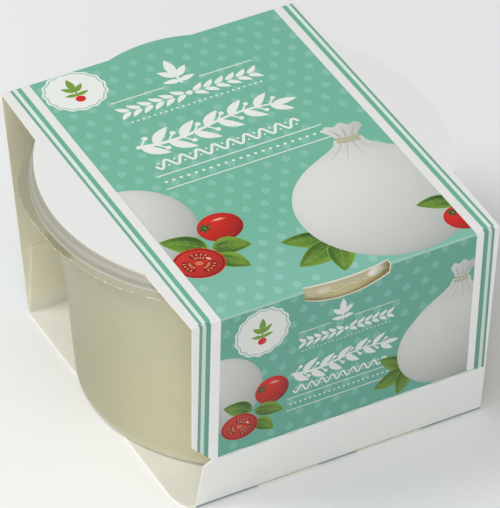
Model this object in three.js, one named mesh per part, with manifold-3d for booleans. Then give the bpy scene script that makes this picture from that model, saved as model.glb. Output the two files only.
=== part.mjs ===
// A small fresh cheese pack: a round tapered tub with its lid, held in a folded card sleeve.
// Millimetres, +Z up. The origin is on the tub's axis, on the surface that the pack stands on.
// +Y is the back of the pack, -Y its printed front, and both ends of the sleeve (+X and -X) are open.

import * as THREE from "three";
import { mergeVertices } from "three/addons/utils/BufferGeometryUtils.js";
import Module from "manifold-3d";

const wasm = await Module();
wasm.setup();

// ---- driving dimensions ----

const GAP = 0.3; // clearance between neighbouring pieces
const SLEEVE_X = 1.4; // the sleeve sits this far along X from the tub, which has slid towards -X
const SLEEVE_Y = -0.2; // and this far along Y

// sleeve, where "down" is a distance down an upright panel from its top fold
const BOARD = 0.45; // thickness of the card
const WIDTH = 80; // along X, between the open ends
const DEPTH = 103.6; // along Y, at the top folds
const HEIGHT = 61.8;
const LEAN = 8.9; // how far inside its top fold each upright panel meets the bottom
const EAR_RADIUS = 49.8; // round side flaps of the top panel, which follow the lid
const EAR_FLARE = 0.7; // the side edges run out by this much from a corner to an ear
const WINDOW_RADIUS = 52.3; // edge of the top panel over the two rim windows
const WINDOW_CENTRE = 1.05; // Y of that edge's centre, so that it stands out at the back
const WINDOW_HALF = 11.2; // half the length of a rim window
const WINDOW_SIDE = 3.0; // how far down it reaches at its ends
const WINDOW_MIDDLE = 5.95; // and in its middle
const TEAR_DOWN = 47.5; // the tear line across the front
const CUT_PITCH = 7.8; // the tear line is a row of short cuts
const CUT_LENGTH = 4.2;
const CUT_WIDTH = 0.4;
const CUT_COUNT = 9;
const FRONT_TAPER = 1.7; // the printed front narrows by this much on its left
const NOTCH_RISE = 6.6; // the notch starts this far above the tear line
const NOTCH_TIP = -32.6; // X of the notch's tip, which is on the tear line
const BAND_TOP = [-35.0, 48.9]; // X and distance down of the upper left corner of the strip below it
const BAND_FOOT = -36.5; // X of that strip's lower left corner
const BOTTOM_CORNER = [3.5, 8]; // size in X and Y of the bottom's rounded front left corner
const LAP_DOWN = 43.9; // the inner lap starts this far down the back panel
const LAP_INSET = [2.8, 0.3]; // and stops short of the panel's edges by this much, at its top and foot
const TAB_SPAN = [5.2, 22]; // |X| range of the two lock tabs at the front bottom fold
const TAB_REACH = 0.5; // how far they stand out of the fold

// lid, its outline from the flat top to the foot as radius and height
const LID_TOP = HEIGHT - BOARD - GAP;
const LID_FLAT_RADIUS = 47.4;
const LID_SHOULDER = [49.2, 60.7]; // where the top rolls over
const LID_BEAD = [50.4, 59.1]; // lower edge of the sloping shoulder
const LID_LIP = [51.1, 57.9]; // thin lip, the widest point
const LID_LIP_HALF = 0.25; // half the lip's thickness
const LID_FOOT = 57.3;

// tub, its wall from the rim to the floor as radius and height
const TUB_TOP = LID_FOOT - GAP;
const TUB_RIM_RADIUS = 49.6;
const TUB_RIM_THICK = 1.0;
const TUB_NECK = [47.0, 55]; // the wall right under the rim
const TUB_BEND = [45.6, 50];
const TUB_WAIST = [43.1, 31]; // the wall is steeper below this height
const TUB_BASE_RADIUS = 41.5; // the lower wall carried down to the floor
const TUB_BASE_ROUND = 3.5;
const TUB_FLOOR = BOARD + GAP;
const TUB_FOOT_RADIUS = 33; // inner edge of the foot ring
const TUB_FOOT_RISE = 1.2; // the base is raised this much inside the foot ring

const LATHE_STEPS = 96;
const ARC_STEPS = 48;
const EDGE_STEPS = 6;
const MARGIN = 2; // cutting shapes run past the card by this much

// ---- worked out from the dimensions ----

const HALF_WIDTH = WIDTH / 2;
const TOP_FOLD = DEPTH / 2; // |Y| of the top folds
const FOOT_FOLD = TOP_FOLD - LEAN; // |Y| of the bottom folds
const SLANT = Math.hypot(LEAN, HEIGHT); // length of an upright panel, fold to fold
const ACROSS = (BOARD * SLANT) / HEIGHT; // thickness of a leaning panel, measured along Y

const heightAt = (down) => HEIGHT * (1 - down / SLANT);
const innerFace = (z) => TOP_FOLD - ((HEIGHT - z) * LEAN) / HEIGHT - ACROSS; // |Y| inside an upright panel

// ---- helpers ----

const X = new THREE.Vector3(1, 0, 0);
const Y = new THREE.Vector3(0, 1, 0);
const Z = new THREE.Vector3(0, 0, 1);

function toManifold(geometry) {
  const bare = geometry.clone();
  bare.deleteAttribute("normal");
  bare.deleteAttribute("uv");
  const merged = mergeVertices(bare, 1e-3);
  return new wasm.Manifold(
    new wasm.Mesh({
      numProp: 3,
      vertProperties: new Float32Array(merged.attributes.position.array),
      triVerts: new Uint32Array(merged.index.array),
    }),
  );
}

function toGeometry(solid) {
  const mesh = solid.getMesh();
  const geometry = new THREE.BufferGeometry();
  geometry.setAttribute("position", new THREE.BufferAttribute(mesh.vertProperties, 3));
  geometry.setIndex(new THREE.BufferAttribute(mesh.triVerts, 1));
  geometry.computeVertexNormals();
  return geometry;
}

// an outline drawn along two axes, from the origin given and along the third axis
function prism(shape, length, xAxis, yAxis, origin) {
  const settings = { depth: length, bevelEnabled: false, curveSegments: ARC_STEPS };
  const geometry = new THREE.ExtrudeGeometry(shape, settings);
  const zAxis = new THREE.Vector3().crossVectors(xAxis, yAxis);
  geometry.applyMatrix4(new THREE.Matrix4().makeBasis(xAxis, yAxis, zAxis).setPosition(origin));
  return toManifold(geometry);
}

// a level panel
function slab(shape, z, thickness) {
  return prism(shape, thickness, X, Y, new THREE.Vector3(0, 0, z));
}

// an outline drawn in X and Z, carried from yFrom back to yTo
function curtain(shape, yFrom, yTo) {
  return prism(shape, yTo - yFrom, X, Z, new THREE.Vector3(0, yTo, 0));
}

// a profile drawn in Y and Z, carried along X past both sides of the sleeve
function extrusion(profile) {
  return prism(profile, WIDTH + 2 * MARGIN, Y, Z, new THREE.Vector3(-HALF_WIDTH - MARGIN, 0, 0));
}

function polygon(points) {
  return new THREE.Shape(points.map(([u, v]) => new THREE.Vector2(u, v)));
}

function turned(profile) {
  const points = profile.map(([radius, z]) => new THREE.Vector2(radius, z));
  const geometry = new THREE.LatheGeometry(points, LATHE_STEPS);
  geometry.rotateX(Math.PI / 2);
  return toManifold(geometry);
}

// ---- sleeve ----

// the top with its two ears, and with its round edges over the windows
function topPanel() {
  const ear = Math.acos((HALF_WIDTH + EAR_FLARE) / EAR_RADIUS);
  const window = Math.asin(WINDOW_HALF / WINDOW_RADIUS);
  const quarter = Math.PI / 2;
  const shape = new THREE.Shape();
  shape.moveTo(-HALF_WIDTH, -TOP_FOLD);
  shape.lineTo(-WINDOW_HALF, -TOP_FOLD);
  shape.absarc(0, WINDOW_CENTRE, WINDOW_RADIUS, -quarter - window, -quarter + window, false);
  shape.lineTo(WINDOW_HALF, -TOP_FOLD);
  shape.lineTo(HALF_WIDTH, -TOP_FOLD);
  shape.absarc(0, 0, EAR_RADIUS, -ear, ear, false);
  shape.lineTo(HALF_WIDTH, TOP_FOLD);
  shape.lineTo(WINDOW_HALF, TOP_FOLD);
  shape.absarc(0, WINDOW_CENTRE, WINDOW_RADIUS, quarter - window, quarter + window, false);
  shape.lineTo(-WINDOW_HALF, TOP_FOLD);
  shape.lineTo(-HALF_WIDTH, TOP_FOLD);
  shape.absarc(0, 0, EAR_RADIUS, Math.PI - ear, Math.PI + ear, false);
  return slab(shape, HEIGHT - BOARD, BOARD);
}

// the four panels as one loop of board
function loop() {
  const low = BOARD;
  const high = HEIGHT - BOARD;
  const profile = polygon([[-FOOT_FOLD, 0], [FOOT_FOLD, 0], [TOP_FOLD, HEIGHT], [-TOP_FOLD, HEIGHT]]);
  profile.holes.push(polygon([
    [-innerFace(low), low],
    [-innerFace(high), high],
    [innerFace(high), high],
    [innerFace(low), low],
  ]));
  return extrusion(profile);
}

// the opening under a top fold, through which the rim of the tub shows
function windowOutline() {
  const sag = WINDOW_MIDDLE - WINDOW_SIDE;
  const radius = (WINDOW_HALF * WINDOW_HALF + sag * sag) / (2 * sag);
  const centre = heightAt(WINDOW_MIDDLE) + radius;
  const open = Math.asin(WINDOW_HALF / radius);
  const shape = new THREE.Shape();
  shape.moveTo(-WINDOW_HALF, HEIGHT + MARGIN);
  shape.absarc(0, centre, radius, -Math.PI / 2 - open, -Math.PI / 2 + open, false);
  shape.lineTo(WINDOW_HALF, HEIGHT + MARGIN);
  return shape;
}

function frontOutline() {
  return polygon([
    [-HALF_WIDTH, HEIGHT],
    [-HALF_WIDTH + FRONT_TAPER, heightAt(TEAR_DOWN - NOTCH_RISE)],
    [NOTCH_TIP, heightAt(TEAR_DOWN)],
    [BAND_TOP[0], heightAt(BAND_TOP[1])],
    [BAND_FOOT, 0],
    [HALF_WIDTH, 0],
    [HALF_WIDTH, HEIGHT],
  ]);
}

function backOutline() {
  return polygon([[-HALF_WIDTH, 0], [HALF_WIDTH, 0], [HALF_WIDTH, HEIGHT], [-HALF_WIDTH, HEIGHT]]);
}

function bottomOutline() {
  const [cornerX, cornerY] = BOTTOM_CORNER;
  const shape = new THREE.Shape();
  shape.moveTo(HALF_WIDTH, -FOOT_FOLD);
  shape.lineTo(HALF_WIDTH, FOOT_FOLD);
  shape.lineTo(-HALF_WIDTH, FOOT_FOLD);
  const corner = [-HALF_WIDTH + cornerX, -FOOT_FOLD + cornerY, cornerX, cornerY];
  shape.absellipse(...corner, Math.PI, 1.5 * Math.PI, false, 0);
  return shape;
}

// one cut of the tear line, counted from the right edge of the front
function tearCut(index) {
  const right = HALF_WIDTH - (CUT_PITCH - CUT_LENGTH) - index * CUT_PITCH;
  const left = right - CUT_LENGTH;
  const top = heightAt(TEAR_DOWN) + CUT_WIDTH / 2;
  const foot = top - CUT_WIDTH;
  return curtain(polygon([[left, foot], [right, foot], [right, top], [left, top]]), -DEPTH, 0);
}

// the glued lap of the bottom panel, which lies on the inside of the back panel
function lap() {
  const low = BOARD / 2;
  const high = heightAt(LAP_DOWN);
  const overlap = BOARD / 3; // it is one piece with the panel that it is glued to
  const profile = polygon([
    [innerFace(low) - ACROSS, low],
    [innerFace(low) + overlap, low],
    [innerFace(high) + overlap, high],
    [innerFace(high) - ACROSS, high],
  ]);
  const [topInset, footInset] = LAP_INSET;
  const outline = polygon([
    [-HALF_WIDTH + footInset, 0],
    [HALF_WIDTH - footInset, 0],
    [HALF_WIDTH - topInset, high + MARGIN],
    [-HALF_WIDTH + topInset, high + MARGIN],
  ]);
  return extrusion(profile).intersect(curtain(outline, 0, DEPTH));
}

function lockTab(side) {
  const [near, far] = TAB_SPAN.map((x) => side * x);
  const front = -FOOT_FOLD - TAB_REACH;
  const back = -FOOT_FOLD + BOARD;
  return slab(polygon([[near, front], [far, front], [far, back], [near, back]]), 0, BOARD);
}

function sleeve() {
  const board = loop();
  const cuts = wasm.Manifold.union(Array.from({ length: CUT_COUNT }, (_, index) => tearCut(index)));
  const front = board.intersect(curtain(frontOutline(), -DEPTH, BOARD - FOOT_FOLD)).subtract(cuts);
  const back = board.intersect(curtain(backOutline(), FOOT_FOLD - BOARD, DEPTH));
  const bottom = board.intersect(slab(bottomOutline(), 0, BOARD));
  const uprights = front.add(back).subtract(curtain(windowOutline(), -DEPTH, DEPTH));
  return wasm.Manifold.union([uprights, bottom, topPanel(), lap(), lockTab(1), lockTab(-1)]);
}

// ---- lid and tub ----

function lid() {
  return turned([
    [0, LID_FOOT],
    [LID_LIP[0] - LID_LIP_HALF, LID_FOOT],
    [LID_LIP[0], LID_FOOT + LID_LIP_HALF],
    LID_LIP,
    [LID_BEAD[0] + LID_LIP_HALF, LID_LIP[1] + LID_LIP_HALF],
    LID_BEAD,
    LID_SHOULDER,
    [(LID_SHOULDER[0] + LID_FLAT_RADIUS) / 2, LID_TOP - LID_LIP_HALF / 2],
    [LID_FLAT_RADIUS, LID_TOP],
    [0, LID_TOP],
  ]);
}

// the quarter circle from the underside of the tub up to its wall
function roundedEdge(centreR, centreZ, radius) {
  const points = [];
  for (let i = 0; i <= EDGE_STEPS; i += 1) {
    const angle = ((i / EDGE_STEPS - 1) * Math.PI) / 2;
    points.push([centreR + radius * Math.cos(angle), centreZ + radius * Math.sin(angle)]);
  }
  return points;
}

function tub() {
  const slope = (TUB_WAIST[0] - TUB_BASE_RADIUS) / (TUB_WAIST[1] - TUB_FLOOR);
  const side = TUB_BASE_RADIUS + slope * TUB_BASE_ROUND; // radius where the rounded edge ends
  const rimFoot = TUB_TOP - TUB_RIM_THICK;
  return turned([
    [0, TUB_FLOOR + TUB_FOOT_RISE],
    [TUB_FOOT_RADIUS - TUB_FOOT_RISE, TUB_FLOOR + TUB_FOOT_RISE],
    [TUB_FOOT_RADIUS, TUB_FLOOR],
    ...roundedEdge(side - TUB_BASE_ROUND, TUB_FLOOR + TUB_BASE_ROUND, TUB_BASE_ROUND),
    TUB_WAIST,
    TUB_BEND,
    TUB_NECK,
    [TUB_RIM_RADIUS - TUB_RIM_THICK, rimFoot],
    [TUB_RIM_RADIUS, rimFoot],
    [TUB_RIM_RADIUS, TUB_TOP],
    [0, TUB_TOP],
  ]);
}

// ---- assembly ----

const pieces = [
  { name: "sleeve", solid: sleeve(), place: [SLEEVE_X, SLEEVE_Y], color: 0x86bfa9, roughness: 0.42 },
  { name: "lid", solid: lid(), place: [0, 0], color: 0xb9bba6, roughness: 0.38 },
  { name: "tub", solid: tub(), place: [0, 0], color: 0xc9c4a2, roughness: 0.35 },
];

const pack = new THREE.Group();
for (const { name, solid, place, color, roughness } of pieces) {
  const material = new THREE.MeshStandardMaterial({ color, roughness, metalness: 0 });
  const mesh = new THREE.Mesh(toGeometry(solid), material);
  mesh.name = name;
  mesh.position.set(...place, 0);
  pack.add(mesh);
}

export default pack;
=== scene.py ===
"""A fresh cheese pack: a tapered plastic tub with its lid in a printed card sleeve.

Lengths are in millimetres here and are turned into metres when a mesh is made.
The sleeve is drawn flat, as one blank of card, and then folded: x runs across the pack and v runs
round it, over the top towards the front. The print on a panel has x to the right and y down from
the panel's own origin.
"""
import math
from dataclasses import dataclass

import bpy
import numpy as np
from mathutils import Matrix, Vector
from mathutils.geometry import delaunay_2d_cdt


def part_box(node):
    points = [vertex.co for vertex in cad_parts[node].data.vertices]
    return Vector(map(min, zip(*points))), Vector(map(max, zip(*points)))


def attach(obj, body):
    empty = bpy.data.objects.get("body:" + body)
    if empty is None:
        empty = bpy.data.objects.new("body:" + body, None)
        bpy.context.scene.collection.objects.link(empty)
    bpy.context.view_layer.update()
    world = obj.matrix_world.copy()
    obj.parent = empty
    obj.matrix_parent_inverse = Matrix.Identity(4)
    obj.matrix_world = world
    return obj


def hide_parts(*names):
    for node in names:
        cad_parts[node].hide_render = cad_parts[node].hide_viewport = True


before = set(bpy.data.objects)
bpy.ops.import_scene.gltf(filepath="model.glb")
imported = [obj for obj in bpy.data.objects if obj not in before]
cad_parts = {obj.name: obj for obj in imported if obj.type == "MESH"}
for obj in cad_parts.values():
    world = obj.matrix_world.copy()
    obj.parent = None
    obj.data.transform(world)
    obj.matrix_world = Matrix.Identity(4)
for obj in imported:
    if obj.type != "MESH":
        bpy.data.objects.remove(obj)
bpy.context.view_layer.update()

MM = 0.001

# ---- sizes from the frame ----

sleeve_low, sleeve_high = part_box("sleeve")
HEIGHT = sleeve_high.z / MM
SLEEVE_X = (sleeve_low.x + sleeve_high.x) / 2 / MM
DEPTH = 103.6
SLEEVE_Y = sleeve_low.y / MM + DEPTH / 2

# ---- sizes of the sleeve ----

BOARD = 0.45
WIDTH = 80.0
LEAN = 8.9  # each upright panel meets the bottom this far inside its top fold
FOLD_RADIUS = 0.7
EAR_RADIUS = 49.45
EAR_SPREAD = {-1: 2, 1: 3.0}  # the radius grows by this much times the square of the angle
EAR_MIDDLE = -1.2  # along the blank, so towards the back
EAR_NECK = 40.6
WINDOW_TONGUE = {1: (52.3, 51.25), -1: (30.8, 53.35)}  # radius and reach of the top panel's edge
WINDOW_HALF = 11.2
WINDOW_SIDE = 3.0
WINDOW_MIDDLE = 5.95
TEAR_DOWN = 47.5
CUT_PITCH = 7.8
CUT_LENGTH = 4.2
CUT_WIDTH = 0.12
CUT_COUNT = 9
FRONT_TAPER = 1.7
FRONT_FLARE = 0.4
NOTCH_RISE = 6.6
NOTCH_TIP = -32.6
BAND_TOP = (-35, 48.9)
BAND_FOOT = -36.5
BOTTOM_CORNER = (3.5, 8)
LAP_DOWN = 43.9
LAP_INSET = 2.8
TAB_SPANS = ((-20.1, -3.7), (6.5, 24))
TAB_END = ((0, -0.2), (0.5, 0.35), (0.9, 0.5))  # how far along and how far out its corners are
TAB_LIFT = 0.02

HALF = WIDTH / 2
TOP_FOLD = DEPTH / 2
FOOT_FOLD = TOP_FOLD - LEAN
SLANT = math.hypot(LEAN, HEIGHT)
GLUE = 0.04  # between the back panel and the lap inside it
LAP_IN = (BOARD + GLUE) * SLANT / HEIGHT  # the lap's outer face from the back panel's, along Y

# places along the blank, from the middle of the top panel
BACK_FOLD = -TOP_FOLD
FRONT_FOLD = TOP_FOLD
BACK_END = BACK_FOLD - SLANT + BOARD
FRONT_FOOT = FRONT_FOLD + SLANT
BACK_FOOT = FRONT_FOOT + 2 * FOOT_FOLD - LAP_IN
LAP_END = BACK_FOOT + SLANT - LAP_DOWN

# ---- sizes of the tub and the lid: a pair is a radius and a height ----

TUB_WALL = ((41.35, 0.46), (43.1, 31), (45.6, 50))
FOOT_ROUND = (1.6, 3.5)  # how far in and how far up the tub's foot is rounded
FOOT_RING = ((31.8, 1.2), (32.6, 0.9), (33, 0.3), (33.4, 0))  # the hollow under it, over its foot
RIM_ROOT = (46.6, 54.2)
RIM_ROUND = 1.6
RIM_EDGE = ((49.35, 55.8), (49.6, 56.05), (49.6, 56.8), (49.4, 57))
LID_FOOT = ((49.6, 57.3), (49.95, 57.4), (50.02, 58.4))
LID_BEAD = (50.18, 58.98)
BEAD_ROUND = 0.2
LID_BAND = ((50.26, 59.5), (50.14, 60), (49.98, 60.5), (49.76, 60.95), (49.45, 61.3))
FILM_ROOT = (50.15, 59.02)
FILM_EDGE = (51.2, 57.65)
FILM_THICK = 0.1
FILM_FLAP = (152, 19, 1.7)  # where the film stands out furthest, its half width and its reach
FILM_PRESS = (322, 9, -1.4)  # where the sleeve's edge presses it in, in the same way
FLAP_SAG = 0.25  # how far it hangs for each millimetre of reach
FILM_HANG = 3.2  # how much lower the film hangs in the rim windows
FILM_FADE = 4.0  # how far beside a window that begins
FILM_GAP = 0.1  # between the film and the panels
FILM_ROWS = (0, 0.16, 0.28, 0.35, 0.38, 0.45, 0.6, 0.75, 0.93, 1)  # shares of the way out
CRINKLE_ROW = 3  # in a window the film is crinkled after this row
CRINKLE_AT = 0.365
CRINKLE_WIDTH = 0.12
CREASE = 0.035

# waves round the tub: how many, how high and where the first one starts
EDGE_WAVES = ((9, 0.1, 0.4), (23, 0.08, 1.9), (57, 0.06, 0.3), (101, 0.04, 2.2), (173, 0.03, 1.1))
SAG_WAVES = ((13, 0.09, 0.9), (37, 0.08, 2.7), (83, 0.05, 0.2))
CRINKLE_WAVES = ((29, 0.1, 0.8), (61, 0.14, 0), (113, 0.08, 1.2))

# ---- soft patches of painted shadow and painted light on the plastic: centre, radii (0 is endless) and strength ----

FILM_SHADE = ((-50.4, -5.2, 57.5), (7, 6.8, 0), 0.65)  # painted shadow in the gap behind the film's flap
GLINTS = (  # painted glints: pale patches where light shines through in the rim windows
    ((10.1, 0, 58.8), (2.9, 0, 1.3), 1),
    ((-4.1, 0, 58.8), (2.3, 0, 1.1), 0.3),
)
WINDOW_END_LIGHT = ((8, 13, 1.5), (-6, -9.5, 1.45))  # painted light at the windows' ends, which lie in shade: from and to along X, and how much brighter
WINDOW_DEPTH = (41.5, 46.5)  # from the middle along Y, where the windows' painted light begins and is full

# ---- the camera, from the photo ----

CAMERA_AT = Vector((-408.88, -833.28, 761.32))
CAMERA_AIM = Vector((3.51, 2.95, 30))
CAMERA_ROLL = 1.4  # degrees
PICTURE_HEIGHT = 508  # pixels, the longer side
FOCAL_PIXELS = 4902.2

# ---- inks, as sRGB ----

WHITE = (236, 237, 234)
TURQUOISE = (118, 187, 161)
TURQUOISE_NEAR_LIT = (129, 191, 173)  # painted light: the top panel's ground and drops grow paler towards its front
# darker copies of the top's inks for the front panel: painted shade, where less light falls
TURQUOISE_FRONT_SHADED = (108, 179, 159)
TURQUOISE_LINE = (112, 180, 155)
# painted shade: a darker copy for the front panel
LINE_FRONT_SHADED = (110, 172, 154)
THIN_LINE = (122, 172, 153)
DROP = (136, 197, 177)
# painted light: the top panel's drops grow paler towards its front
DROP_NEAR_LIT = (148, 203, 188)
# painted shade: a darker copy for the front panel
DROP_FRONT_SHADED = (128, 195, 179)
# a pale line along the front fold: partly worn ink, partly a painted highlight on the rounded fold
FOLD_WEAR_AND_HIGHLIGHT = (174, 218, 204)
SPECK = (176, 216, 202)
TEAR_MARK = (214, 228, 221)
FOOT_LINE = (92, 150, 134)
MINT = (222, 240, 231)
INK_WHITE = (238, 241, 236)
CHEESE_LIGHT = (226, 228, 223)
CHEESE_DARK = (158, 162, 155)
CREASE_LIGHT = (196, 199, 194)
CREASE_DARK = (182, 185, 180)
TUFT_DARK = (188, 191, 186)
STRING = (196, 192, 152)
STRING_DARK = (142, 136, 96)
TOMATO_LIGHT = (214, 40, 28)
TOMATO_DARK = (112, 10, 12)
SHINE = (228, 92, 74)
SHINE_MIDDLE = (244, 188, 172)
SHINE_FAINT = (176, 44, 34)
SKIN = (120, 14, 14)
FLESH_LIGHT = (206, 52, 38)
FLESH_DARK = (150, 26, 22)
CHAMBER = (138, 18, 16)
CHAMBER_WET = (170, 40, 26)
SEED = (232, 170, 120)
CORE = (216, 120, 84)
WET_SHINE = (248, 222, 210)
LEAF_LIGHT = (122, 162, 58)
LEAF_DARK = (42, 84, 34)
# the colour of the painted shadow behind the film's flap
SHADE = (126, 124, 86)
GLINT = (255, 252, 246)


def linear(colour):
    share = np.array(colour, float) / 255
    return np.where(share <= 0.04045, share / 12.92, ((share + 0.055) / 1.055) ** 2.4)


# ---- curves in the flat ----


def cos_sin(degrees):
    return math.cos(math.radians(degrees)), math.sin(math.radians(degrees))


def arc(centre, radius, start, stop, steps):
    """Points on a circle, or an ellipse if radius is a pair, with the angles in degrees."""
    wide, tall = radius if isinstance(radius, tuple) else (radius, radius)
    angles = np.radians(np.linspace(start, stop, steps + 1))
    return [(centre[0] + wide * math.cos(a), centre[1] + tall * math.sin(a)) for a in angles]


def oval(centre, wide, tall, turn=0, steps=40):
    """A closed ellipse, turned by degrees."""
    c, s = cos_sin(turn)
    ring = arc((0, 0), (wide, tall), 0, 360, steps)[:-1]
    return [(centre[0] + c * x - s * y, centre[1] + s * x + c * y) for x, y in ring]


def smooth(points, steps):
    """A Catmull-Rom curve through a few points."""
    p = [np.array(q, float) for q in points]
    p = [2 * p[0] - p[1], *p, 2 * p[-1] - p[-2]]
    out = []
    for a, b, c, d in zip(p, p[1:], p[2:], p[3:]):
        for t in np.arange(steps) / steps:
            q = 2 * b + (c - a) * t + (2 * a - 5 * b + 4 * c - d) * t**2 + (3 * b - a - 3 * c + d) * t**3
            out.append(tuple(q / 2))
    return [*out, tuple(p[-2])]


def stroke(points, width):
    """The outline of a line drawn along points. Width is one number or one for each point."""
    p = np.array(points, float)
    half = np.broadcast_to(np.asarray(width, float) / 2, len(p))
    along = np.gradient(p, axis=0)
    along /= np.linalg.norm(along, axis=1)[:, None]
    across = np.stack([-along[:, 1], along[:, 0]], axis=1) * half[:, None]
    return np.concatenate([p + across, (p - across)[::-1]])


def beside(axis):
    """The unit vector to the side of another."""
    return np.array([-axis[1], axis[0]]) / np.linalg.norm(axis)


def blade(base, tip, width, bend=0, steps=12):
    """A leaf's outline: round at the base, pointed at the tip, bent sideways in its middle."""
    base, tip = np.array(base, float), np.array(tip, float)
    axis = tip - base
    side = beside(axis)
    t = np.linspace(0, 1, steps + 1)[:, None]
    swell = np.sin(np.pi * t**0.75) ** 0.8 * width / 2 * side
    middle = base + t * axis + np.sin(np.pi * t) * bend * side
    return np.concatenate([middle + swell, (middle - swell)[1:-1][::-1]])


def wave(start, stop, y, height, count, steps):
    """A wavy line along x. Its height is from the middle."""
    t = np.linspace(0, 1, steps + 1)
    return np.stack([start + t * (stop - start), y + height * np.sin(2 * np.pi * count * t)], 1)


def inside(points, outline):
    """Which of the points lie inside a closed outline."""
    ring = np.array(outline, float)
    found = ((points >= ring.min(0)) & (points <= ring.max(0))).all(1)
    px, py = points[found].T[:, :, None]
    (ax, ay), (bx, by) = ring.T, np.roll(ring, -1, axis=0).T
    spans = (ay > py) != (by > py)
    rise = np.where(by == ay, 1, by - ay)
    crossing = ax + (py - ay) / rise * (bx - ax)
    found[found] = (spans & (px < crossing)).sum(1) % 2 == 1
    return found


# ---- the blank's outline ----


def tongue_edge(x, side):
    """How far the top panel reaches from its middle at a rim window."""
    radius, reach = WINDOW_TONGUE[side]
    return reach - radius + np.sqrt(np.maximum(radius**2 - x**2, 0))


def window_cut(fold, side):
    """A rim window in the blank, at the front fold (side 1) or the back fold (side -1)."""
    sag = WINDOW_MIDDLE - WINDOW_SIDE
    radius = (WINDOW_HALF**2 + sag**2) / (2 * sag)
    open_angle = math.degrees(math.asin(WINDOW_HALF / radius))
    lower = arc((0, WINDOW_MIDDLE - radius), radius, 90 - open_angle, 90 + open_angle, 24)
    x = np.linspace(-WINDOW_HALF, WINDOW_HALF, 25)
    upper = [(a, side * b) for a, b in zip(x, tongue_edge(x, side))]
    return [*upper, *[(a, fold + side * b) for a, b in lower]]


def cut_end(index):
    """Where a cut of the tear line ends on its right."""
    return HALF - (CUT_PITCH - CUT_LENGTH) - index * CUT_PITCH


def tear_cut(index):
    right, v, half = cut_end(index), FRONT_FOLD + TEAR_DOWN, CUT_WIDTH / 2
    return arc((right - half, v), half, -90, 90, 4) + arc((right - CUT_LENGTH + half, v), half, 90, 270, 4)


def ear(side):
    """The edge of a round ear, from its back end to its front end."""
    angles = np.radians(np.linspace(-40, 40, 81))
    radius = EAR_RADIUS + EAR_SPREAD[side] * angles**2
    x, v = radius * np.cos(angles), EAR_MIDDLE + radius * np.sin(angles)
    beyond = x > EAR_NECK
    x, v = x[beyond], v[beyond]
    x[[0, -1]] = EAR_NECK
    return [(side * a, b) for a, b in zip(x, v)]


def blank_outline():
    corner_x, corner_v = BOTTOM_CORNER
    left = [
        (-HALF, BACK_END),
        (-HALF, BACK_FOLD),
        *ear(-1),
        (-HALF, FRONT_FOLD),
        (-HALF + FRONT_TAPER, FRONT_FOLD + TEAR_DOWN - NOTCH_RISE),
        (NOTCH_TIP, FRONT_FOLD + TEAR_DOWN),
        (BAND_TOP[0], FRONT_FOLD + BAND_TOP[1]),
        (BAND_FOOT, FRONT_FOOT),
        *arc((-HALF + corner_x, FRONT_FOOT + corner_v), BOTTOM_CORNER, 270, 180, 12)[1:],
        (-HALF, BACK_FOOT),
        (-HALF + LAP_INSET, LAP_END),
    ]
    right = [
        (HALF, BACK_END),
        (HALF, BACK_FOLD),
        *ear(1),
        (HALF, FRONT_FOLD),
        (HALF + FRONT_FLARE, FRONT_FOLD + TEAR_DOWN),
        (HALF + FRONT_FLARE, FRONT_FOOT),
        (HALF, FRONT_FOOT + corner_v),
        (HALF, BACK_FOOT),
        (HALF - LAP_INSET, LAP_END),
    ]
    return left + right[::-1]


# ---- folding the blank ----


def fold_path():
    """The corners of the outer face, seen along X, from the back panel's foot to the lap's end."""
    share = (BACK_END - BACK_FOLD + SLANT) / SLANT
    lap = (SLANT - LAP_DOWN) / SLANT
    return np.array([
        (FOOT_FOLD + LEAN * share, HEIGHT * share),
        (TOP_FOLD, HEIGHT),
        (-TOP_FOLD, HEIGHT),
        (-FOOT_FOLD, 0),
        (FOOT_FOLD - LAP_IN, 0),
        (FOOT_FOLD - LAP_IN + LEAN * lap, HEIGHT * lap),
    ])


TOUCH = 0.001  # a point this close to a line is on it
CORNERS = fold_path()
CORNER_PLACES = (BACK_END, BACK_FOLD, FRONT_FOLD, FRONT_FOOT, BACK_FOOT, LAP_END)  # on the blank
FOLDS = range(1, len(CORNERS) - 1)


def fold_reach(index):
    """How far each side of a fold the board is curved, and the angle that it turns by."""
    before, after = np.diff(CORNERS[index - 1:index + 2], axis=0)
    turn = math.acos(before @ after / np.linalg.norm(before) / np.linalg.norm(after))
    return FOLD_RADIUS * math.tan(turn / 2), turn


def folded(points, depth):
    """Blank points in space, at a depth under the outer face."""
    x, v = points.T
    steps = np.diff(CORNERS, axis=0)
    steps /= np.linalg.norm(steps, axis=1)[:, None]
    normals = np.stack([steps[:, 1], -steps[:, 0]], 1)
    panel = np.searchsorted(CORNER_PLACES[1:-1], v)
    place = CORNERS[panel] + (v - np.take(CORNER_PLACES, panel))[:, None] * steps[panel]
    out = normals[panel]
    edge = np.where(v > 0, tongue_edge(x, 1), tongue_edge(x, -1))
    tongue = (np.abs(x) < WINDOW_HALF + TOUCH) & (np.abs(v) < edge + TOUCH)
    place[tongue] = np.stack([-v[tongue], np.full(tongue.sum(), HEIGHT)], axis=1)
    out[tongue] = (0, 1)
    for i in FOLDS:
        reach, turn = fold_reach(i)
        here = (np.abs(v - CORNER_PLACES[i]) < reach) & ~tongue
        before, normal = steps[i - 1], normals[i - 1]
        angle = ((v[here] - CORNER_PLACES[i] + reach) / (2 * reach) * turn)[:, None]
        start = CORNERS[i] - before * reach
        place[here] = start + (before * np.sin(angle) - normal * (1 - np.cos(angle))) * FOLD_RADIUS
        out[here] = normal * np.cos(angle) + before * np.sin(angle)
    place -= out * depth
    return np.column_stack([x + SLEEVE_X, place[:, 0] + SLEEVE_Y, place[:, 1]])


# ---- the print ----


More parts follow.
